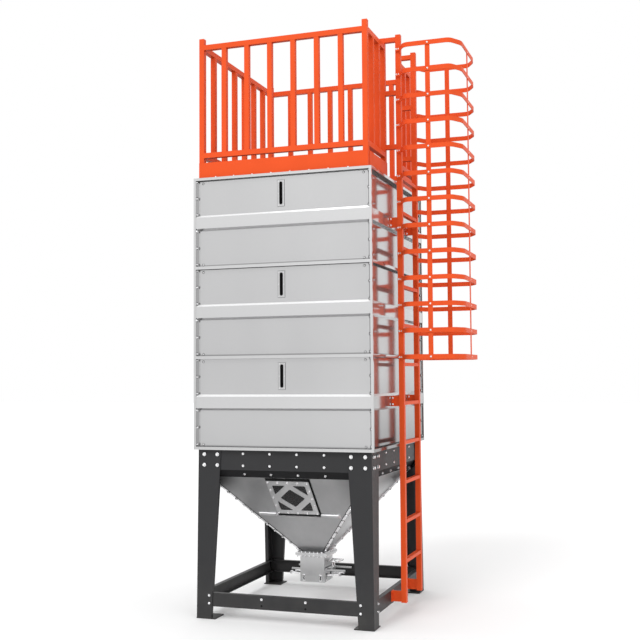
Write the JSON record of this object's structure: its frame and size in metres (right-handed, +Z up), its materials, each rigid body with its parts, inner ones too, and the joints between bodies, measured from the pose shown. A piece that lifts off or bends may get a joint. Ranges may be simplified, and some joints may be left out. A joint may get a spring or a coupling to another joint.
{
  "type": "grain silo",
  "caption": "Square panelled grain silo on four splayed legs, with a hopper bottom and slide gate, a caged side ladder and a roof guardrail.",
  "frame": {"origin": "middle of the whole plan, cage included, at the undersides of the foot plates", "axes": "+Z up, +X towards the side with the ladder, -Y out of the front with the inspection window"},
  "size_m": [2.0104, 1.545, 4.489],
  "materials": {
    "frame_paint": "dark grey paint, satin",
    "hopper_sheet": "bright sheet with a fine grain",
    "wall_sheet": "pale galvanised sheet, satin",
    "access_paint": "orange powder coat, semi-gloss",
    "sight_glass": "dark clear pane"
  },
  "bodies": {
    "silo": {"leg_front_left": "frame_paint", "leg_front_right": "frame_paint", "leg_rear_left": "frame_paint", "leg_rear_right": "frame_paint", "top_beam_front": "frame_paint", "top_beam_rear": "frame_paint", "top_beam_left": "frame_paint", "top_beam_right": "frame_paint", "base_beam_front": "frame_paint", "base_beam_rear": "frame_paint", "base_beam_left": "frame_paint", "base_beam_right": "frame_paint", "hopper_front": "hopper_sheet", "hopper_rear": "hopper_sheet", "hopper_left": "hopper_sheet", "hopper_right": "hopper_sheet", "window_guard": "hopper_sheet", "outlet_flange": "hopper_sheet", "outlet_throat": "hopper_sheet", "base_ring": "wall_sheet", "wall_1_front": "wall_sheet", "wall_1_rear": "wall_sheet", "wall_1_left": "wall_sheet", "wall_1_right": "wall_sheet", "wall_2_front": "wall_sheet", "wall_2_rear": "wall_sheet", "wall_2_left": "wall_sheet", "wall_2_right": "wall_sheet", "wall_3_front": "wall_sheet", "wall_3_rear": "wall_sheet", "wall_3_left": "wall_sheet", "wall_3_right": "wall_sheet", "corner_post_front_left": "wall_sheet", "corner_post_front_right": "wall_sheet", "corner_post_rear_left": "wall_sheet", "corner_post_rear_right": "wall_sheet", "roof_deck": "wall_sheet", "roof_hatch": "wall_sheet", "guardrail_front": "access_paint", "guardrail_rear": "access_paint", "guardrail_left": "access_paint", "guardrail_right_front": "access_paint", "guardrail_right_rear": "access_paint", "ladder": "access_paint", "cage_front": "access_paint", "cage_rear": "access_paint", "cage_outer": "access_paint", "window_glass": "sight_glass"},
    "gate": {"slide_gate": "hopper_sheet"}
  },
  "joints": [
    {"name": "gate_slide", "type": "slide", "parent": "silo", "child": "gate", "axis": [1, 0, 0], "range_m": [0, 0.18]}
  ]
}
